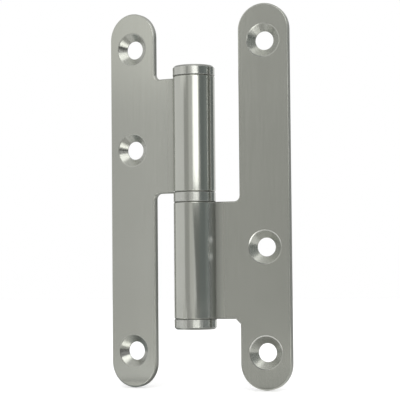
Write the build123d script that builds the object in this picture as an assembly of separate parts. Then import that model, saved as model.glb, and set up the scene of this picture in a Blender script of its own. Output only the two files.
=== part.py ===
from build123d import *
import os
from math import atan2, cos, radians, sin, sqrt, tan

# Lift-off hinge of stainless steel: two leaves of bent sheet, each with one
# rolled knuckle, on one standing pin.  Millimetres, +Z up.
# Each piece is drawn about the pin axis.  The frame leaf lies along +X and
# shows its countersunk face to -Y.  Its knuckle is the lower one and holds the
# pin.  The door leaf lies along -X, opened a little past flat, and its knuckle
# is the upper one.  At the end all pieces move together, so that the origin is
# midway between the frame leaf's two outer screw holes, on its back face.

# Leaves
leaf_height = 140.0        # over the two round ends
leaf_reach = 36.0          # from the pin axis to the outer edge
strip_width = 19.0         # the tall outer strip, round at both ends
sheet = 2.5                # thickness of the bent sheet
shut_gap = 0.2             # between the two leaves when the hinge is shut
open_past_flat = 10.4      # degrees, at rest
edge_break = 0.4           # narrow chamfer on the sheet's edges

# Knuckles, ring and plugs
barrel_radius = 7.75       # outside of the knuckles
knuckle_length = 42.6      # also the height of the web beside the knuckle
ring_height = 3.6
plug_height = 3.7          # the part of a plug that shows
neck_inner_radius = 1.2    # inside of the bend where the web joins the knuckle
seam_gap = 0.12            # between the rolled end of the sheet and the leaf
barrel_edge = 0.25         # chamfer of ring and plugs beside a joint line
plug_edge = 0.75           # chamfer on the outer end of a plug
plug_spigot = 6.0          # the part of a plug inside the knuckle
plug_lead = 0.6            # chamfer at the inner end of a spigot

# Corners where the web meets the strip
notch_round = 2.1          # the three rounded corners
notch_cut = 1.8            # the straight corner, low on the frame leaf

# Screw holes, three in each leaf on the middle line of the strip
hole_radius = 3.4
countersink_radius = 6.05
countersink_angle = 100.0
rim_break = 0.2            # chamfer where a countersink meets the face
end_hole_margin = 13.5     # from each end of the leaf
third_hole_pitch = 38.0    # from the end hole on the knuckle's side

# Pin
journal_clearance = 0.05   # radial, in the upper knuckle and the ring
pin_top_gap = 1.6          # between the pin and the upper plug
pin_foot_gap = 0.5         # between the pin and the lower plug
pin_point = 1.2            # chamfer that leads the door leaf on
pin_foot_edge = 0.5        # chamfer at the lower end

# Worked out from the sizes above
bore_radius = barrel_radius - sheet
face_offset = shut_gap / 2
back_offset = face_offset + sheet
journal_radius = bore_radius - journal_clearance
ring_top = ring_height / 2
knuckle_end = ring_top + knuckle_length
strip_middle = leaf_reach - strip_width / 2
strip_inner = leaf_reach - strip_width
countersink_slope = tan(radians(countersink_angle / 2))
countersink_depth = (countersink_radius - hole_radius) / countersink_slope
end_hole_height = leaf_height / 2 - end_hole_margin
hole_heights = (end_hole_height, -end_hole_height, third_hole_pitch - end_hole_height)

# The neck bends the sheet from the knuckle into the plane of the leaf.  Its
# centre lies behind the leaf, and its middle line touches the knuckle's.
middle_radius = barrel_radius - sheet / 2
neck_outer_radius = neck_inner_radius + sheet
neck_middle_radius = neck_inner_radius + sheet / 2
neck_y = back_offset + neck_inner_radius
neck_x = sqrt((middle_radius + neck_middle_radius) ** 2 - neck_y**2)
neck_angle = atan2(neck_y, neck_x)

# The rolled end of the sheet stops just in front of the leaf's face.
seam_angle = atan2(face_offset - seam_gap, barrel_radius)

tolerance = 0.001          # for finding edges that lie in a plane


def arc(radius, start, end, centre=(0.0, 0.0)):
    """An arc between two angles in radians from +X, through the middle one."""
    angles = (start, (start + end) / 2, end)
    x, y = centre
    return ThreePointArc(*[(x + radius * cos(a), y + radius * sin(a)) for a in angles])


def web_section():
    """The bent sheet seen along the pin: knuckle, neck and flat web.

    The roll leaves the neck behind the leaf, goes round the pin and ends at
    the front, where the open seam shows beside the leaf's face.
    """
    roll_end = radians(360) + seam_angle
    neck = (neck_x, neck_y)
    neck_start = neck_angle + radians(180)
    neck_end = radians(270)
    back_neck = arc(neck_inner_radius, neck_end, neck_start, neck)
    outer_roll = arc(barrel_radius, neck_angle, roll_end)
    inner_roll = arc(bore_radius, roll_end, neck_angle)
    front_neck = arc(neck_outer_radius, neck_start, neck_end, neck)
    return make_face([
        Line((strip_middle, back_offset), back_neck @ 0),
        back_neck,
        outer_roll,
        Line(outer_roll @ 1, inner_roll @ 0),
        inner_roll,
        front_neck,
        Line(front_neck @ 1, (strip_middle, face_offset)),
        Line((strip_middle, face_offset), (strip_middle, back_offset)),
    ])


def front_face(height):
    """A plane on the leaf's countersunk face, with its normal into the sheet."""
    return Plane((strip_middle, face_offset, height), x_dir=(1, 0, 0), z_dir=(0, 1, 0))


def screw_hole(height):
    """The tool that cuts one countersunk hole."""
    on_face = (Align.CENTER, Align.CENTER, Align.MIN)
    through = Cylinder(hole_radius, sheet, align=on_face)
    sink = Cone(countersink_radius, hole_radius, countersink_depth, align=on_face)
    return front_face(height) * (through + sink)


def is_countersink_rim(edge):
    """Whether an edge is the circle where a countersink meets the face."""
    return edge.geom_type == GeomType.CIRCLE and abs(edge.radius - countersink_radius) < tolerance


def web_corner(blank, height):
    """The inside corner between the strip and the web's end at this height."""
    corner = Vector(strip_inner, face_offset + sheet / 2, height)
    return min(blank.edges().filter_by(Axis.Y), key=lambda edge: (edge.center() - corner).length)


def rim_edges(blank, offset):
    """The outline of the flat part of one face, which lies at this Y."""
    return [
        edge
        for edge in blank.edges()
        if abs(edge.bounding_box().min.Y - offset) < tolerance
        and abs(edge.bounding_box().max.Y - offset) < tolerance
        and edge.center().X > neck_x
    ]


def leaf(straight_corner):
    """One leaf with its knuckle below.  Its lower web corner is rounded or straight."""
    section = Pos(0, 0, -knuckle_end) * web_section()
    web = extrude(section, knuckle_length, dir=(0, 0, 1))
    outline = SlotOverall(leaf_height, strip_width, rotation=90)
    strip = extrude(front_face(0) * outline, sheet)
    blank = web + strip

    middle_corner = web_corner(blank, -ring_top)
    blank = fillet(middle_corner, notch_round)
    end_corner = web_corner(blank, -knuckle_end)
    if straight_corner:
        blank = chamfer(end_corner, notch_cut)
    else:
        blank = fillet(end_corner, notch_round)

    # The chamfer follows each outline on along the neck and round the knuckle.
    for offset in (face_offset, back_offset):
        blank = chamfer(rim_edges(blank, offset), edge_break)
    for height in hole_heights:
        blank -= screw_hole(height)
    rims = blank.edges().filter_by(is_countersink_rim)
    return chamfer(rims, rim_break)


def turned(points):
    """A piece turned about the pin axis from its half section."""
    return revolve(Plane.XZ * make_face(Polyline(points, close=True)), Axis.Z)


def bearing_ring():
    """The loose ring between the knuckles, which carries the door leaf."""
    return turned([
        (bore_radius, -ring_top),
        (barrel_radius - barrel_edge, -ring_top),
        (barrel_radius, -ring_top + barrel_edge),
        (barrel_radius, ring_top - barrel_edge),
        (barrel_radius - barrel_edge, ring_top),
        (bore_radius, ring_top),
    ])


def hinge_pin():
    """The pin: a thicker foot pressed into the lower knuckle, then the journal."""
    foot = plug_spigot + pin_foot_gap - knuckle_end
    step = -ring_top
    top = knuckle_end - plug_spigot - pin_top_gap
    return turned([
        (0, foot),
        (bore_radius - pin_foot_edge, foot),
        (bore_radius, foot + pin_foot_edge),
        (bore_radius, step),
        (journal_radius, step),
        (journal_radius, top - pin_point),
        (journal_radius - pin_point, top),
        (0, top),
    ])


def end_plug():
    """The plug of the upper knuckle: a spigot below and a chamfered head."""
    seat = knuckle_end
    tip = seat - plug_spigot
    top = seat + plug_height
    return turned([
        (0, tip),
        (bore_radius - plug_lead, tip),
        (bore_radius, tip + plug_lead),
        (bore_radius, seat),
        (barrel_radius - barrel_edge, seat),
        (barrel_radius, seat + barrel_edge),
        (barrel_radius, top - plug_edge),
        (barrel_radius - plug_edge, top),
        (0, top),
    ])


# The door leaf is the frame leaf's form turned over about the Y axis.
upside_down = Rot(0, 180, 0)
door_turn = Rot(0, 0, -open_past_flat)
to_origin = Pos(-strip_middle, -back_offset, 0)

pieces = {
    "frame_leaf": leaf(straight_corner=True),
    "door_leaf": door_turn * upside_down * leaf(straight_corner=False),
    "hinge_pin": hinge_pin(),
    "bearing_ring": bearing_ring(),
    "upper_plug": door_turn * end_plug(),
    "lower_plug": upside_down * end_plug(),
}

os.makedirs("parts", exist_ok=True)
for name, piece in pieces.items():
    placed = to_origin * piece
    placed.label = name
    export_step(placed, f"parts/{name}.step")
    size = placed.bounding_box().size
    print(f"{name}: {placed.volume:.1f} mm3, {size.X:.2f} x {size.Y:.2f} x {size.Z:.2f} mm")
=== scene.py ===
from math import cos, radians, sin, tan
import bpy
import numpy as np
from mathutils import Matrix, Vector


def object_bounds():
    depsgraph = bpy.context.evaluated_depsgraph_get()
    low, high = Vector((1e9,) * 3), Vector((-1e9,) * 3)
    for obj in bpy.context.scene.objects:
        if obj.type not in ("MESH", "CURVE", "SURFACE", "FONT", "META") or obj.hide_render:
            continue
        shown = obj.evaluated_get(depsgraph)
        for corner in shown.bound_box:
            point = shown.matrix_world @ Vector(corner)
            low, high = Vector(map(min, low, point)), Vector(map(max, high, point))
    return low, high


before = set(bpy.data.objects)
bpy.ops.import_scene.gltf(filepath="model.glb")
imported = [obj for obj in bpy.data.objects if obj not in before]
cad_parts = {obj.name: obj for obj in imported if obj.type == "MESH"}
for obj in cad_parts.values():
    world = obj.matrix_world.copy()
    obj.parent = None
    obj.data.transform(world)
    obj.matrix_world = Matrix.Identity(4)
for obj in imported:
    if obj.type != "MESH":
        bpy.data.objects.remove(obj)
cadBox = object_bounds()
print("frame loaded:", ", ".join(sorted(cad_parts)))

scene = bpy.context.scene
pinAxis = Vector((-0.0265, -0.0026, 0.0))     # where the pin stands in the shared frame
pastFlat = 10.4                               # degrees between the door leaf and the flat


# Camera, measured from the pin
cameraSet = {
    "distance": 0.529475,      # metres
    "height": -0.026749,
    "turn": 18.526,            # degrees to the right of the frame leaf's own normal
    "yaw": 0.211,
    "pitch": 2.783,
    "roll": -0.508,
    "pixels": 1448.48,         # focal length in pixels of the picture
    "pictureWidth": 400,
    "sensor": 36.0,
    "nearest": 0.01,
    "farthest": 20.0,
}


# A point at this distance from the pin. Turn is counted from the camera, to the right.
def aroundPin(distance, turn, height):
    angle = radians(cameraSet["turn"] + turn)
    return pinAxis + Vector((distance * sin(angle), -distance * cos(angle), height))


def makeCamera(given):
    yaw, pitch, roll = (radians(given[name]) for name in ("yaw", "pitch", "roll"))
    forward = Vector((sin(yaw) * cos(pitch), cos(yaw) * cos(pitch), sin(pitch)))
    flatRight = Vector((cos(yaw), -sin(yaw), 0.0))
    flatUp = flatRight.cross(forward)
    right = flatRight * cos(roll) + flatUp * sin(roll)
    up = flatUp * cos(roll) - flatRight * sin(roll)
    axes = Matrix((right, up, -forward)).transposed()
    turned = Matrix.Rotation(radians(given["turn"]), 3, "Z") @ axes
    data = bpy.data.cameras.new("hingeCamera")
    data.sensor_width = given["sensor"]
    data.lens = given["pixels"] / given["pictureWidth"] * given["sensor"]
    data.clip_start = given["nearest"]
    data.clip_end = given["farthest"]
    camera = bpy.data.objects.new("hingeCamera", data)
    scene.collection.objects.link(camera)
    stand = aroundPin(given["distance"], 0, given["height"])
    camera.matrix_world = Matrix.Translation(stand) @ turned.to_4x4()
    scene.camera = camera


makeCamera(cameraSet)
scene.view_settings.view_transform = "Standard"
print("camera placed")


# Small helpers for node trees
def put(tree, socket, value):
    if isinstance(value, bpy.types.NodeSocket):
        tree.links.new(value, socket)
    else:
        socket.default_value = value


def calc(tree, operation, *values, clamp=False):
    node = tree.nodes.new("ShaderNodeMath")
    node.operation = operation
    node.use_clamp = clamp
    for socket, value in zip(node.inputs, values):
        put(tree, socket, value)
    return node.outputs[0]


def product(tree, first, *others):
    for other in others:
        first = calc(tree, "MULTIPLY", first, other)
    return first


def vectorCalc(tree, operation, *values, output=0):
    node = tree.nodes.new("ShaderNodeVectorMath")
    node.operation = operation
    for socket, value in zip(node.inputs, values):
        put(tree, socket, value)
    return node.outputs[output]


def separate(tree, vector):
    node = tree.nodes.new("ShaderNodeSeparateXYZ")
    put(tree, node.inputs[0], vector)
    return node.outputs


def combine(tree, x, y, z):
    node = tree.nodes.new("ShaderNodeCombineXYZ")
    for socket, value in zip(node.inputs, (x, y, z)):
        put(tree, socket, value)
    return node.outputs[0]


# Value taken from the range low..high to the range in to, and held at its ends
def ramp(tree, value, low, high, to=(0.0, 1.0), kind="SMOOTHSTEP"):
    node = tree.nodes.new("ShaderNodeMapRange")
    node.interpolation_type = kind
    put(tree, node.inputs["Value"], value)
    put(tree, node.inputs["From Min"], low)
    put(tree, node.inputs["From Max"], high)
    put(tree, node.inputs["To Min"], to[0])
    put(tree, node.inputs["To Max"], to[1])
    return node.outputs["Result"]


def mixColour(tree, factor, first, second):
    node = tree.nodes.new("ShaderNodeMix")
    node.data_type = "RGBA"
    put(tree, node.inputs[0], factor)
    put(tree, node.inputs[6], first)       # 6 and 7 are the sockets of the colour kind
    put(tree, node.inputs[7], second)
    return node.outputs[2]


def noise(tree, vector, scale, detail, roughness):
    node = tree.nodes.new("ShaderNodeTexNoise")
    put(tree, node.inputs["Vector"], vector)
    put(tree, node.inputs["Scale"], scale)
    put(tree, node.inputs["Detail"], detail)
    put(tree, node.inputs["Roughness"], roughness)
    return node.outputs["Fac"]


# A node group with its sockets. Inputs are (name, kind, value), outputs are names of numbers.
def newGroup(name, inputs, outputs):
    tree = bpy.data.node_groups.new(name, "ShaderNodeTree")
    for label, kind, value in inputs:
        socket = tree.interface.new_socket(
            name=label, in_out="INPUT", socket_type="NodeSocket" + kind)
        if value is not None:
            socket.default_value = value
    for label in outputs:
        tree.interface.new_socket(name=label, in_out="OUTPUT", socket_type="NodeSocketFloat")
    given = tree.nodes.new("NodeGroupInput").outputs
    result = tree.nodes.new("NodeGroupOutput").inputs
    return tree, given, result


def place(tree, group, **values):
    node = tree.nodes.new("ShaderNodeGroup")
    node.node_tree = group
    for name, value in values.items():
        put(tree, node.inputs[name], value)
    return node.outputs


# Effects shared by the materials. Object coordinates are metres, so scales are per metre.
brushing = {
    "detail": 4.0,
    "roughness": 0.62,
    "streakShare": 0.16,       # streaks are the same lines drawn at this share of their scale
    "streakDetail": 2.0,
    "streakRoughness": 0.5,
}


# Fine lines of a brushed finish: noise squeezed across the lines and drawn out along them
def makeLines(look):
    tree, given, result = newGroup(
        "brushedLines",
        [("Vector", "Vector", None), ("Stretch", "Vector", (1.0, 1.0, 1.0))],
        ["Lines", "Streaks"],
    )
    drawn = vectorCalc(tree, "MULTIPLY", given["Vector"], given["Stretch"])
    put(tree, result["Lines"], noise(tree, drawn, 1.0, look["detail"], look["roughness"]))
    wider = vectorCalc(tree, "MULTIPLY", drawn, (look["streakShare"],) * 3)
    streaks = noise(tree, wider, 1.0, look["streakDetail"], look["streakRoughness"])
    put(tree, result["Streaks"], streaks)
    return tree


turning = {"detail": 3.0, "roughness": 0.6}


# Rings left by a turning tool: noise along one value, a radius or a height
def makeRings(look):
    tree, given, result = newGroup(
        "turnedRings",
        [("Position", "Float", 0.0), ("Pitch", "Float", 0.0002)],
        ["Rings"],
    )
    step = calc(tree, "DIVIDE", given["Position"], given["Pitch"])
    along = combine(tree, step, 0.0, 0.0)
    put(tree, result["Rings"], noise(tree, along, 1.0, look["detail"], look["roughness"]))
    return tree


edgeWear = {
    "samples": 4,
    "flat": 0.995,             # agreement of the rounded and the true normal: no wear
    "turned": 0.86,            # and full wear
    "scale": 900.0,
    "detail": 3.0,
    "roughness": 0.6,
    "patchRange": (0.3, 0.7),
    "least": 0.45,             # wear in the most sheltered patches
}


# Brighter, smoother metal where a rounded edge would turn away from the face: the dot product
# of both normals, broken up by noise
def makeWear(look):
    tree, given, result = newGroup(
        "edgeWear",
        [("Vector", "Vector", None), ("Width", "Float", 0.0004)],
        ["Wear"],
    )
    bevel = tree.nodes.new("ShaderNodeBevel")
    bevel.samples = look["samples"]
    put(tree, bevel.inputs["Radius"], given["Width"])
    geometry = tree.nodes.new("ShaderNodeNewGeometry")
    normal = geometry.outputs["Normal"]
    agree = vectorCalc(tree, "DOT_PRODUCT", bevel.outputs[0], normal, output=1)
    turnedAway = ramp(tree, agree, look["flat"], look["turned"])
    patches = noise(tree, given["Vector"], look["scale"], look["detail"], look["roughness"])
    broken = ramp(tree, patches, *look["patchRange"], (look["least"], 1.0))
    put(tree, result["Wear"], product(tree, turnedAway, broken))
    return tree


handled = {
    "cloudScale": 70.0,
    "cloudDetail": 3.0,
    "cloudRoughness": 0.55,
    "pitScale": 130.0,
    "pitRim": 0.06,            # reach of a pit, as a share of its cell
    "pitFloor": 0.025,
    "rarest": 0.86,            # only cells whose random colour is above this hold a pit
    "surest": 0.9,
}


# Large soft clouds left by handling and wiping, and a few tiny pits: the middles of some cells
def makeHandling(look):
    tree, given, result = newGroup(
        "handling",
        [("Vector", "Vector", None)],
        ["Clouds", "Pits"],
    )
    clouds = noise(
        tree, given["Vector"], look["cloudScale"], look["cloudDetail"], look["cloudRoughness"])
    put(tree, result["Clouds"], clouds)
    cells = tree.nodes.new("ShaderNodeTexVoronoi")
    cells.feature = "F1"
    put(tree, cells.inputs["Vector"], given["Vector"])
    put(tree, cells.inputs["Scale"], look["pitScale"])
    near = ramp(tree, cells.outputs["Distance"], look["pitRim"], look["pitFloor"])
    chance = tree.nodes.new("ShaderNodeSeparateColor")
    put(tree, chance.inputs[0], cells.outputs["Color"])
    few = ramp(tree, chance.outputs[0], look["rarest"], look["surest"])
    put(tree, result["Pits"], product(tree, near, few))
    return tree


groups = {
    "lines": makeLines(brushing),
    "rings": makeRings(turning),
    "wear": makeWear(edgeWear),
    "handling": makeHandling(handled),
}
print("shared effects built:", ", ".join(sorted(groups)))


# Helpers for the materials
def emptyMaterial(name, shaderKind):
    material = bpy.data.materials.new(name)
    material.use_nodes = True
    tree = material.node_tree
    tree.nodes.clear()
    output = tree.nodes.new("ShaderNodeOutputMaterial")
    shader = tree.nodes.new(shaderKind)
    tree.links.new(shader.outputs[0], output.inputs["Surface"])
    return material, tree, shader


# Object coordinates counted from the pin, and turned with the piece
def objectPlace(tree, turn):
    coordinates = tree.nodes.new("ShaderNodeTexCoord")
    mapping = tree.nodes.new("ShaderNodeMapping")
    mapping.vector_type = "POINT"
    mapping.inputs["Rotation"].default_value = turn.to_euler("XYZ")
    mapping.inputs["Location"].default_value = -(turn @ pinAxis)
    tree.links.new(coordinates.outputs["Object"], mapping.inputs["Vector"])
    return mapping.outputs[0]


# A direction on the piece, turned back and taken to where the piece now stands
def toWorld(tree, vector, turn):
    rotate = tree.nodes.new("ShaderNodeVectorRotate")
    rotate.rotation_type = "EULER_XYZ"
    rotate.inputs["Rotation"].default_value = turn.transposed().to_euler("XYZ")
    put(tree, rotate.inputs["Vector"], vector)
    transform = tree.nodes.new("ShaderNodeVectorTransform")
    transform.vector_type = "VECTOR"
    transform.convert_from = "OBJECT"
    transform.convert_to = "WORLD"
    tree.links.new(rotate.outputs[0], transform.inputs[0])
    return transform.outputs[0]


# How far the surface faces a direction of the piece, either way: 1 is square on
def facing(tree, normal, way, turn):
    agree = vectorCalc(tree, "DOT_PRODUCT", toWorld(tree, way, turn), normal, output=1)
    return calc(tree, "ABSOLUTE", agree)


# The length of a vector that has these two parts and no third
def flatLength(tree, x, y):
    return vectorCalc(tree, "LENGTH", combine(tree, x, y, 0.0), output=1)


# Grooves of this height in metres, so the bump's own distance is one
def addGrooves(tree, shader, height, smooth=None):
    bump = tree.nodes.new("ShaderNodeBump")
    bump.inputs["Strength"].default_value = 1.0
    bump.inputs["Distance"].default_value = 1.0
    put(tree, bump.inputs["Height"], height)
    if smooth is not None:
        put(tree, bump.inputs["Normal"], smooth)
    put(tree, shader.inputs["Normal"], bump.outputs[0])


# Colours laid over the first one, each by its own share
def coated(tree, colour, coats):
    for share, coat in coats:
        colour = mixColour(tree, share, colour, coat)
    return colour


# A value with masks added to it, each times its own amount
def summed(tree, value, parts, clamp=True):
    for mask, amount in parts[:-1]:
        value = calc(tree, "MULTIPLY_ADD", mask, amount, value)
    return calc(tree, "MULTIPLY_ADD", *parts[-1], value, clamp=clamp)


def makeMetal(shader, anisotropy):
    shader.inputs["Metallic"].default_value = 1.0
    shader.inputs["Anisotropic"].default_value = anisotropy


# Leaves: satin sheet brushed along its height, turned countersinks, smoother knuckles.
# Metres on the leaf are counted from the pin. In the leaf's own directions the sheet lies along
# +X, its face looks to -Y and its knuckle is below.
leafSet = {
    "colour": (0.4, 0.407, 0.37, 1.0),
    "brightLine": (0.437, 0.444, 0.407, 1.0),
    "darkLine": (0.363, 0.37, 0.333, 1.0),
    "lineShare": 0.75,                       # of fine lines in the grain; the rest is streaks
    "grainRange": (0.35, 0.65),              # of the noise that goes from dark to bright lines
    "cloudRange": (0.3, 0.7),
    "evenness": 0.55,                        # share of the plain colour over the grain
    "knuckleColour": (0.443, 0.45, 0.412, 1.0),
    "knuckleShare": 0.85,
    "outerShadeColour": (0.33, 0.337, 0.306, 1.0),    # painted shade: the strip is darker towards its outer edge
    "outerShadeShare": 0.6,
    "cloudShare": 0.12,
    "worn": (0.5, 0.5, 0.47, 1.0),
    "wornShare": 0.5,
    "wearWidth": 0.00035,
    # cut walls' own colour, also laid as painted shade in the corner along the seam
    "cutAndShadeColour": (0.27, 0.275, 0.253, 1.0),
    "cutShare": 0.8,
    # painted highlight: pale spots and a band on the frame leaf's knuckle
    "paintedSheenColour": (0.8, 0.8, 0.78, 1.0),
    # painted highlight and painted shade laid on the countersinks' rims
    "rimPaintedHighlight": (0.95, 0.95, 0.92, 1.0),
    "rimPaintedShade": (0.16, 0.163, 0.15, 1.0),
    # painted dark reflection in some countersinks' wedges
    "wedgeReflectionColour": (0.1, 0.1, 0.096, 1.0),
    "roughness": 0.2,
    "knuckleRoughness": 0.125,
    "sinkRoughness": 0.27,
    "cutRoughness": 0.4,
    "cornerRoughness": 0.5,
    "paintedSheenRoughness": 0.55,
    "rimRoughness": 0.42,
    "lineSwing": 0.08,                       # how far grain and clouds change the roughness
    "cloudSwing": 0.06,
    "wearSwing": -0.05,
    "anisotropy": 0.82,
    "lineSpread": (7000.0, 7000.0, 90.0),    # lines per metre across and along the brushing
    "lineHeight": 0.0000012,
    "ringPitch": 0.00022,
    "ringHeight": 0.000008,
    "pitHeight": -0.00002,
    "edgeRound": 0.0002,
    "edgeSamples": 8,
    "alongSheet": 0.03,                      # tilt of the highlights' way on flat metal
    "downSlope": 4.0,                        # and inside a countersink
    "face": 0.0001,
    "back": 0.0026,
    "skin": 0.00001,
    "holes": (0.0565, -0.0565, -0.0185),
    "sinkReach": 0.00615,
    "rimInner": (0.00585, 0.00592),          # from the hole's middle, where the rim fades in
    "rimOuter": (0.0063, 0.00625),           # and out
    "rimDepth": 0.001,
    "rimHighlightHeights": (0.02, -0.05),          # the rims' painted highlight grows down the leaf
    "rimHighlightShares": (0.08, 0.7),
    "rimAbove": (0.0, 0.003),                # from the hole's middle up, where the painted highlight fades in
    "rimBelow": (0.002, -0.001),             # and down, where the painted shade does
    "rimLeft": (0.002, -0.002),              # and towards the pin, where the painted shade does too
    "wedgeFade": 4.0,                        # degrees
    "stripInner": 0.017,
    "stripMiddle": 0.0265,
    "stripOuter": 0.036,
    "neckEnd": 0.0086,
    "cutFacing": (0.97, 0.8),                # cosine to the face where cut metal starts and is
    "wallFacing": (0.6, 0.35),               # full; the second pair is for upright walls alone
    "knuckleReach": (0.0091, 0.0079),
    "seam": 0.00775,
    "cornerReach": 0.0045,
}


# Where the surface belongs to a countersink, and how far it is from that hole's middle line:
# across, up and in all. Of the holes the nearest in height is picked.
def sinkMask(tree, given, x, y, z):
    nearest = calc(tree, "SUBTRACT", z, given["holes"][0])
    for height in given["holes"][1:]:
        away = calc(tree, "SUBTRACT", z, height)
        sizes = [calc(tree, "ABSOLUTE", value) for value in (away, nearest)]
        closer = calc(tree, "LESS_THAN", *sizes)
        change = calc(tree, "SUBTRACT", away, nearest)
        nearest = calc(tree, "MULTIPLY_ADD", change, closer, nearest)
    across = calc(tree, "SUBTRACT", x, given["stripMiddle"])
    fromHole = flatLength(tree, across, nearest)
    inReach = calc(tree, "LESS_THAN", fromHole, given["sinkReach"])
    belowFace = calc(tree, "GREATER_THAN", y, given["face"] + given["skin"])
    aboveBack = calc(tree, "LESS_THAN", y, given["back"] - given["skin"])
    return product(tree, inReach, belowFace, aboveBack), across, nearest, fromHole


# Soft spots of painted highlight: each has its middle, its reach, how much its height is
# squeezed, and its strength
def spotMask(tree, spot, sheens):
    paintedSheen = 0.0
    for middle, reach, squeeze, strength in sheens:
        offset = vectorCalc(tree, "SUBTRACT", spot, middle)
        offset = vectorCalc(tree, "MULTIPLY", offset, (1.0, 1.0, squeeze))
        away = vectorCalc(tree, "LENGTH", offset, output=1)
        paintedSheen = calc(tree, "ADD", ramp(tree, away, reach, 0.0, (0.0, strength)), paintedSheen)
    return paintedSheen


# The broken rim of each countersink: where it gets a painted highlight, above and most so low on
# the leaf, and where it gets painted shade, below on the side of the pin
def rimMasks(tree, given, rimPaintShare, y, z, across, nearest, fromHole):
    inner = ramp(tree, fromHole, *given["rimInner"])
    outer = ramp(tree, fromHole, *given["rimOuter"])
    front = calc(tree, "LESS_THAN", y, given["rimDepth"])
    rim = product(tree, inner, outer, front, rimPaintShare)
    highlightLevel = ramp(tree, z, *given["rimHighlightHeights"], given["rimHighlightShares"], "LINEAR")
    above = product(tree, rim, highlightLevel, ramp(tree, nearest, *given["rimAbove"]))
    toLeft = ramp(tree, across, *given["rimLeft"])
    below = product(tree, rim, toLeft, ramp(tree, nearest, *given["rimBelow"]))
    return rim, above, below


# Painted dark reflection: wedges in some countersinks that stand for a dark thing which they
# reflect.
# Inside one, the way from the hole's middle agrees with the wedge's own, by the cosine between
# them
def wedgeMask(tree, given, across, z, wedges):
    wedge = 0.0
    for height, middle, halfWidth, share in wedges:
        offset = combine(tree, across, 0.0, calc(tree, "SUBTRACT", z, height))
        way = (cos(radians(middle)), 0.0, sin(radians(middle)))
        outward = vectorCalc(tree, "NORMALIZE", offset)
        agree = vectorCalc(tree, "DOT_PRODUCT", outward, way, output=1)
        fade = given["wedgeFade"]
        outside, fullyIn = (cos(radians(angle)) for angle in (halfWidth + fade, halfWidth - fade))
        inside = ramp(tree, agree, outside, fullyIn, (0.0, share))
        fromHole = vectorCalc(tree, "LENGTH", offset, output=1)
        here = calc(tree, "LESS_THAN", fromHole, given["sinkReach"])
        wedge = calc(tree, "MULTIPLY_ADD", inside, here, wedge)
    return wedge


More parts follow.
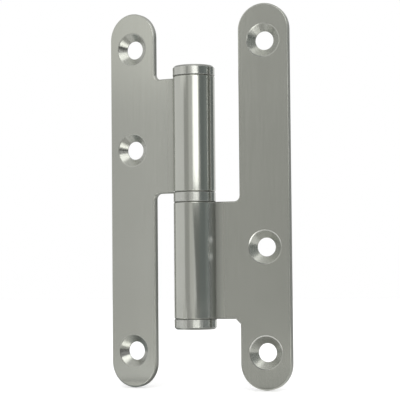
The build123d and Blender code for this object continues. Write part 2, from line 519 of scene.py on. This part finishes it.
# The finish of one leaf. Turn takes the shared frame's directions to the leaf's own.
def leafSteel(name, turn, cornerShadeShare, rimPaintShare, sheens=(), wedges=()):
    given = leafSet
    material, tree, shader = emptyMaterial(name, "ShaderNodeBsdfPrincipled")
    spot = objectPlace(tree, turn)
    x, y, z = separate(tree, spot)
    normal = tree.nodes.new("ShaderNodeNewGeometry").outputs["Normal"]
    sink, across, nearest, fromHole = sinkMask(tree, given, x, y, z)
    # Painted highlight on the rims' upper parts, painted shade on their lower left
    rim, paintedRimHighlight, paintedRimShade = rimMasks(tree, given, rimPaintShare, y, z, across, nearest, fromHole)
    wedge = product(tree, wedgeMask(tree, given, across, z, wedges), sink)
    paintedSheen = spotMask(tree, spot, sheens)

    # Cut walls and chamfers of the sheet look away from both faces
    square = facing(tree, normal, (0.0, 1.0, 0.0), turn)
    pastNeck = calc(tree, "GREATER_THAN", x, given["neckEnd"])
    sheetOnly = product(tree, pastNeck, calc(tree, "SUBTRACT", 1.0, sink))
    cut = product(tree, ramp(tree, square, *given["cutFacing"]), sheetOnly)
    wall = product(tree, ramp(tree, square, *given["wallFacing"]), sheetOnly)

    # The rolled knuckle, and the corner along its seam, darkened by painted shade
    knuckle = ramp(tree, flatLength(tree, x, y), *given["knuckleReach"])
    fromSeam = flatLength(tree, calc(tree, "SUBTRACT", x, given["seam"]), y)
    corner = ramp(tree, fromSeam, given["cornerReach"], 0.0)

    lines = place(tree, groups["lines"], Vector=spot, Stretch=given["lineSpread"])
    rings = place(tree, groups["rings"], Position=fromHole, Pitch=given["ringPitch"])["Rings"]
    handling = place(tree, groups["handling"], Vector=spot)
    wear = place(tree, groups["wear"], Vector=spot, Width=given["wearWidth"])["Wear"]

    streaks = product(tree, lines["Streaks"], 1.0 - given["lineShare"])
    grain = calc(tree, "MULTIPLY_ADD", lines["Lines"], given["lineShare"], streaks)
    outward = ramp(tree, x, given["stripInner"], given["stripOuter"], kind="LINEAR")
    clouds = ramp(tree, handling["Clouds"], *given["cloudRange"])
    offRim = calc(tree, "SUBTRACT", 1.0, rim)
    put(tree, shader.inputs["Base Color"], coated(tree, given["darkLine"], (
        (ramp(tree, grain, *given["grainRange"]), given["brightLine"]),
        (given["evenness"], given["colour"]),
        (product(tree, knuckle, given["knuckleShare"]), given["knuckleColour"]),
        # painted shade: darker towards the strip's outer edge
        (product(tree, outward, given["outerShadeShare"]), given["outerShadeColour"]),
        (product(tree, clouds, given["cloudShare"]), given["darkLine"]),
        # painted highlight on the knuckle's pale spots and band
        (paintedSheen, given["paintedSheenColour"]),
        (handling["Pits"], given["worn"]),
        # painted highlight and painted shade on the rims
        (paintedRimHighlight, given["rimPaintedHighlight"]),
        (paintedRimShade, given["rimPaintedShade"]),
        # painted dark reflection in the wedges
        (wedge, given["wedgeReflectionColour"]),
        # painted shade in the corner along the seam
        (product(tree, corner, cornerShadeShare), given["cutAndShadeColour"]),
        (product(tree, wall, given["cutShare"]), given["cutAndShadeColour"]),
        (product(tree, wear, given["wornShare"], offRim), given["worn"]),
    )))
    put(tree, shader.inputs["Roughness"], summed(tree, given["roughness"], (
        (calc(tree, "SUBTRACT", lines["Lines"], 0.5), given["lineSwing"]),
        (calc(tree, "SUBTRACT", handling["Clouds"], 0.5), given["cloudSwing"]),
        (knuckle, given["knuckleRoughness"] - given["roughness"]),
        (sink, given["sinkRoughness"] - given["roughness"]),
        (cut, given["cutRoughness"] - given["roughness"]),
        (corner, given["cornerRoughness"] - given["roughness"]),
        (paintedSheen, given["paintedSheenRoughness"] - given["knuckleRoughness"]),
        (paintedRimShade, given["rimRoughness"] - given["sinkRoughness"]),
        (wear, given["wearSwing"]),
    )))

    flat = calc(tree, "SUBTRACT", 1.0, sink)
    height = summed(tree, 0.0, (
        (product(tree, lines["Lines"], flat), given["lineHeight"]),
        (product(tree, rings, sink), given["ringHeight"]),
        (handling["Pits"], given["pitHeight"]),
    ), clamp=False)
    rounded = tree.nodes.new("ShaderNodeBevel")
    rounded.samples = given["edgeSamples"]
    rounded.inputs["Radius"].default_value = given["edgeRound"]
    addGrooves(tree, shader, height, rounded.outputs[0])

    # Highlights draw out level, across the brushing, and down the slope of each countersink
    level = vectorCalc(tree, "CROSS_PRODUCT", (0.0, 0.0, 1.0), normal)
    down = product(tree, sink, given["downSlope"])
    slope = toWorld(tree, combine(tree, given["alongSheet"], down, 0.0), turn)
    put(tree, shader.inputs["Tangent"], vectorCalc(tree, "ADD", level, slope))
    makeMetal(shader, given["anisotropy"])
    return material


# Ring, plugs and pin: turned steel with fine rings round the pin axis
turnedSet = {
    "colour": (0.44, 0.446, 0.415, 1.0),
    "brightRing": (0.49, 0.495, 0.465, 1.0),
    "darkRing": (0.39, 0.397, 0.368, 1.0),
    "ringRange": (0.35, 0.65),
    "evenness": 0.55,
    "cloudRange": (0.3, 0.7),
    "cloudShare": 0.12,
    "worn": (0.66, 0.66, 0.64, 1.0),
    "wearWidth": 0.0003,
    "endColour": (0.29, 0.295, 0.275, 1.0),    # end faces and chamfers are cut and not polished
    "endShare": 0.8,
    "endFacing": (0.55, 0.7),
    "endRoughness": 0.48,
    "roughness": 0.19,
    "pinRoughness": 0.16,
    "ringSwing": 0.08,
    "cloudSwing": 0.05,
    "wearSwing": -0.04,
    "anisotropy": 0.7,
    "ringPitch": 0.00016,
    "ringHeight": 0.0000024,
    "sideways": 2.0,                           # share of outward in the highlights' way
}


def turnedSteel(name, roughness):
    given = turnedSet
    unturned = Matrix.Identity(3)
    material, tree, shader = emptyMaterial(name, "ShaderNodeBsdfPrincipled")
    spot = objectPlace(tree, unturned)
    x, y, z = separate(tree, spot)
    normal = tree.nodes.new("ShaderNodeNewGeometry").outputs["Normal"]
    end = ramp(tree, facing(tree, normal, (0.0, 0.0, 1.0), unturned), *given["endFacing"])

    # Rings run on over side, chamfer and end face, because radius and height are added up
    along = calc(tree, "ADD", flatLength(tree, x, y), z)
    rings = place(tree, groups["rings"], Position=along, Pitch=given["ringPitch"])["Rings"]
    handling = place(tree, groups["handling"], Vector=spot)
    wear = place(tree, groups["wear"], Vector=spot, Width=given["wearWidth"])["Wear"]

    clouds = ramp(tree, handling["Clouds"], *given["cloudRange"])
    put(tree, shader.inputs["Base Color"], coated(tree, given["darkRing"], (
        (ramp(tree, rings, *given["ringRange"]), given["brightRing"]),
        (given["evenness"], given["colour"]),
        (product(tree, clouds, given["cloudShare"]), given["darkRing"]),
        (product(tree, end, given["endShare"]), given["endColour"]),
        (wear, given["worn"]),
    )))
    put(tree, shader.inputs["Roughness"], summed(tree, roughness, (
        (calc(tree, "SUBTRACT", rings, 0.5), given["ringSwing"]),
        (calc(tree, "SUBTRACT", handling["Clouds"], 0.5), given["cloudSwing"]),
        (end, given["endRoughness"] - roughness),
        (wear, given["wearSwing"]),
    )))
    addGrooves(tree, shader, product(tree, rings, given["ringHeight"]))

    outward = vectorCalc(tree, "NORMALIZE", combine(tree, x, y, 0.0))
    outward = vectorCalc(tree, "MULTIPLY", outward, (given["sideways"],) * 3)
    way = vectorCalc(tree, "ADD", outward, (0.0, 0.0, 1.0))
    put(tree, shader.inputs["Tangent"], toWorld(tree, way, unturned))
    makeMetal(shader, given["anisotropy"])
    return material


# Painted highlight on the frame leaf's knuckle: two soft pale spots, and a pale matt band along
# it
# beside the seam: middle counted from the pin, reach, squeeze of the height, and strength
knuckleSheens = (
    ((0.00713, -0.00304, -0.0157), 0.0022, 1.0, 0.45),
    ((0.00713, -0.00304, -0.0219), 0.002, 1.0, 0.45),
    ((0.00706, -0.0032, -0.0231), 0.0027, 0.02, 0.35),
)

# Painted dark reflection in wedges of the door leaf's countersinks: height of the hole, middle
# and half width in degrees, counted from outward to up on the leaf, and strength
doorReflectionWedges = (
    (0.0565, 8.5, 15.5, 0.85),
    (-0.0565, -5.5, 11.5, 0.62),
    (-0.0185, 3.0, 9.0, 0.58),
)

# How dark the painted shade in the corner along the seam is, and how much of the rims'
# painted highlight and painted shade a leaf has
cornerShadeShares = {"frame": 0.95, "door": 0.05}
rimPaintShares = {"frame": 1.0, "door": 0.0}

# The door leaf is the frame leaf turned over, then opened past flat
frameTurn = Matrix.Identity(3)
doorTurn = Matrix.Rotation(radians(180), 3, "Y") @ Matrix.Rotation(radians(pastFlat), 3, "Z")

finishes = {
    "frame_leaf": leafSteel(
        "frameLeafSteel", frameTurn, cornerShadeShares["frame"], rimPaintShares["frame"], knuckleSheens),
    "door_leaf": leafSteel(
        "doorLeafSteel", doorTurn, cornerShadeShares["door"], rimPaintShares["door"], (), doorReflectionWedges),
    "bearing_ring": turnedSteel("ringSteel", turnedSet["roughness"]),
    "upper_plug": turnedSteel("plugSteel", turnedSet["roughness"]),
    "hinge_pin": turnedSteel("pinSteel", turnedSet["pinRoughness"]),
}
finishes["lower_plug"] = finishes["upper_plug"]
for nodeName, finish in finishes.items():
    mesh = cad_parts[nodeName].data
    mesh.materials.clear()
    mesh.materials.append(finish)
print("finishes given to", len(finishes), "pieces")


# Studio: white surround, soft lamps over the camera and cards that only the metal reflects
studioSet = {
    "surround": 1.0,
    "floorColour": (0.9, 0.9, 0.9, 1.0),
    "floorRoughness": 0.7,
    "floorGloss": 0.2,
    "floorGlow": 0.22,         # lifts the floor to white, for the camera only
    "floorSize": 3.0,
    "floorGap": 0.0002,
    "cardReach": 1.1,
    "cardStep": 0.005,         # each card stands this much nearer than the one before it
    "patchStep": 0.00001,      # each patch lies this much higher than the one before it
    "arcSteps": 17,
}
tints = {
    "grey": (1.0, 1.0, 0.98, 1.0),
    "cool": (0.91, 1.0, 1.0, 1.0),
    "soft": (0.96, 1.0, 0.98, 1.0),
}

# Each lamp: turn of its middle and half its width in degrees, low and high edge in degrees
# above the hinge's middle, distance and radiance
lamps = {
    "stripLampLeft": (-1.75, 5.75, 3.4, 12.0, 0.95, 1.45),
    "stripLampRight": (13.0, 9.0, 3.4, 12.0, 0.95, 2.0),
    "softLamp": (0.5, 15.5, 16.0, 44.0, 1.0, 2.75),
    "softLampHigh": (0.5, 15.5, 44.5, 60.0, 1.0, 1.7),
}

# Upright cards: turns of both sides and heights of both edges in degrees, strength, tint, and
# how many degrees the first side leans out at its foot
cards = {
    "cardDim": (-44.0, -30.0, -3.6, 25.0, 0.56, "grey"),
    "cardDimLeft": (-57.0, -44.0, -3.6, 9.6, 0.56, "grey"),
    "cardHigh": (-78.0, -44.0, 9.6, 25.0, 1.25, "grey"),
    "cardPale": (-30.0, -8.0, -3.6, 25.0, 0.84, "grey"),
    "cardUnder": (-13.5, 24.0, -3.6, 3.1, 0.27, "soft", 21.5),
    "cardOver": (-8.0, 24.0, 12.3, 15.0, 0.4, "cool"),
    "cardBeside": (16.5, 24.0, 15.0, 46.0, 0.34, "grey"),
    "cardFront": (24.0, 56.0, -3.6, 46.0, 0.27, "cool"),
    "cardFlankLow": (24.0, 32.0, 3.1, 5.6, 0.8, "grey"),
    "cardFlank": (24.0, 28.5, 5.6, 15.0, 0.75, "grey"),
    "cardFrontPale": (56.0, 77.5, -3.6, 46.0, 0.33, "cool"),
    "cardLine": (77.5, 80.5, 3.3, 12.0, 2.2, "grey"),
    "cardGap": (77.5, 97.0, -3.6, 2.9, 0.42, "cool"),
    "cardSide": (103.0, 132.0, -3.6, 20.0, 0.26, "cool"),
}

# Arcs on the floor: turns of both sides, nearest and farthest reach, strength, tint
layers = {
    "layerUnder": (-4.0, 24.0, 0.42, 1.1, 0.27, "soft"),
    "layerMiddle": (24.0, 40.0, 0.42, 1.1, 0.26, "cool"),
    "layerFront": (40.0, 75.0, 0.18, 1.1, 0.26, "cool"),
    "layerSide": (97.0, 132.0, 0.2, 1.1, 0.26, "cool"),
}

# Patches on the floor: four corners as x and y, strength, tint
patches = {
    "patchFrame": (((-0.04, -0.03), (0.03, -0.03), (-0.04, -1.05), (-0.62, -1.05)), 0.58, "grey"),
    "patchPale": (((-0.08, -1.05), (-0.005, -0.33), (0.1, -0.33), (0.26, -1.05)), 0.84, "grey"),
    "patchDoor": (
        ((-0.16, -0.115), (-0.12, -0.115), (-0.7, -0.95), (-1.05, -0.75)), 0.86, "grey"),
    "patchSink": (((-0.08, 0.06), (0.0, 0.003), (0.03, -0.028), (-0.08, -0.028)), 0.4, "grey"),
    "patchBack": (((-0.35, 0.2), (-0.05, 0.07), (-0.05, 0.004), (-0.25, -0.06)), 0.42, "cool"),
    "patchFoot": (
        ((-0.062, 0.003), (-0.048, 0.003), (-0.048, -0.002), (-0.062, -0.002)), 0.42, "cool"),
    "patchToe": (
        ((-0.064, -0.002), (-0.048, -0.002), (-0.058, -0.02), (-0.082, -0.016)), 1.0, "grey"),
    "patchSole": (
        ((-0.0185, 0.001), (0.03, 0.001), (0.03, -0.0036), (-0.0185, -0.0036)), 1.2, "grey"),
    "patchWhite": (((0.0, -0.075), (0.014, -0.075), (0.25, -0.4), (-0.02, -0.4)), 2.8, "grey"),
    "patchPlug": (
        ((0.048, -0.134), (0.073, -0.115), (0.171, -0.231), (0.122, -0.266)), 4.2, "grey"),
    "patchLow": (
        ((-0.051, -0.0013), (-0.0485, -0.0013), (-0.0365, -0.02), (-0.0478, -0.02)), 4.2, "grey"),
    "patchShoe": (
        ((-0.034, -0.0125), (0.012, -0.0125), (-0.01, -0.2), (-0.075, -0.2)), 0.72, "grey"),
}


# A mesh of quads over a grid of points, given as an array of rows by columns by three
def gridPiece(name, points):
    rows, columns = points.shape[:2]
    index = np.arange(rows * columns).reshape(rows, columns)
    corners = [index[:-1, :-1], index[:-1, 1:], index[1:, 1:], index[1:, :-1]]
    quads = np.stack(corners, -1).reshape(-1, 4)
    mesh = bpy.data.meshes.new(name)
    mesh.from_pydata(points.reshape(-1, 3).tolist(), [], quads.tolist())
    mesh.update()
    piece = bpy.data.objects.new(name, mesh)
    scene.collection.objects.link(piece)
    return piece


# A card that gives light, but only polished metal sees it, so the floor keeps its shadow
def makeCard(name, points, strength, tint):
    material, tree, shader = emptyMaterial(name + "Grey", "ShaderNodeEmission")
    shader.inputs["Color"].default_value = tints[tint]
    shader.inputs["Strength"].default_value = strength
    card = gridPiece(name, points)
    card.data.materials.append(material)
    card.visible_camera = False
    card.visible_diffuse = False
    card.visible_shadow = False
    card.visible_transmission = False


# An arc round the pin. X is the reach times the sine of the turn, Y is less the reach times its
# cosine, along a row of turns for each of two edges, of which the first may lean.
def arcPoints(fromTurn, toTurn, reach, height, lean=0.0):
    share = np.linspace(0.0, 1.0, studioSet["arcSteps"])[None, :]
    start = fromTurn + np.array([[lean], [0.0]])
    angle = np.radians(cameraSet["turn"] + start + (toTurn - start) * share)
    reach, height = (np.array(values)[:, None] for values in (reach, height))
    x = pinAxis.x + reach * np.sin(angle)
    y = pinAxis.y - reach * np.cos(angle)
    return np.stack(np.broadcast_arrays(x, y, height), -1)


def makeCards(given):
    for index, (name, values) in enumerate(cards.items()):
        fromTurn, toTurn, low, high, strength, tint, *lean = values
        reach = given["cardReach"] - given["cardStep"] * index
        height = [reach * tan(radians(edge)) for edge in (low, high)]
        points = arcPoints(fromTurn, toTurn, (reach, reach), height, *lean)
        makeCard(name, points, strength, tint)
    level = cadBox[0].z
    for name, (fromTurn, toTurn, near, far, strength, tint) in layers.items():
        points = arcPoints(fromTurn, toTurn, (near, far), (level, level))
        makeCard(name, points, strength, tint)
    for index, (name, (corners, strength, tint)) in enumerate(patches.items()):
        height = level + given["patchStep"] * index
        first, second, third, fourth = [(x, y, height) for x, y in corners]
        makeCard(name, np.array([[first, second], [fourth, third]]), strength, tint)


def makeFloor(given):
    lowest = cadBox[0].z - given["floorGap"]
    side = np.linspace(-0.5, 0.5, 2) * given["floorSize"]
    x, y = side[None, :] + pinAxis.x, side[:, None]
    floor = gridPiece("floor", np.stack(np.broadcast_arrays(x, y, lowest), -1))
    material, tree, shader = emptyMaterial("floorWhite", "ShaderNodeBsdfPrincipled")
    shader.inputs["Base Color"].default_value = given["floorColour"]
    shader.inputs["Roughness"].default_value = given["floorRoughness"]
    shader.inputs["Specular IOR Level"].default_value = given["floorGloss"]
    shader.inputs["Emission Color"].default_value = (1.0, 1.0, 1.0, 1.0)
    seen = tree.nodes.new("ShaderNodeLightPath").outputs["Is Camera Ray"]
    put(tree, shader.inputs["Emission Strength"], product(tree, seen, given["floorGlow"]))
    floor.data.materials.append(material)


def makeLamp(name, turn, halfWidth, low, high, distance, radiance):
    middle = radians((low + high) / 2)
    data = bpy.data.lights.new(name, "AREA")
    data.shape = "RECTANGLE"
    data.size = 2 * distance * tan(radians(halfWidth))
    data.size_y = 2 * distance * tan(radians((high - low) / 2))
    data.energy = radiance * data.size * data.size_y * np.pi    # watts of a flat lamp
    lamp = bpy.data.objects.new(name, data)
    scene.collection.objects.link(lamp)
    lamp.location = aroundPin(distance * cos(middle), turn, distance * sin(middle))
    lamp.rotation_euler = (pinAxis - lamp.location).to_track_quat("-Z", "Y").to_euler()


world = bpy.data.worlds.new("whiteSurround")
scene.world = world
world.use_nodes = True
background = next(node for node in world.node_tree.nodes if node.type == "BACKGROUND")
background.inputs["Color"].default_value = (1.0, 1.0, 1.0, 1.0)
background.inputs["Strength"].default_value = studioSet["surround"]
makeFloor(studioSet)
for lampName, lampPlace in lamps.items():
    makeLamp(lampName, *lampPlace)
makeCards(studioSet)
print("studio set up")
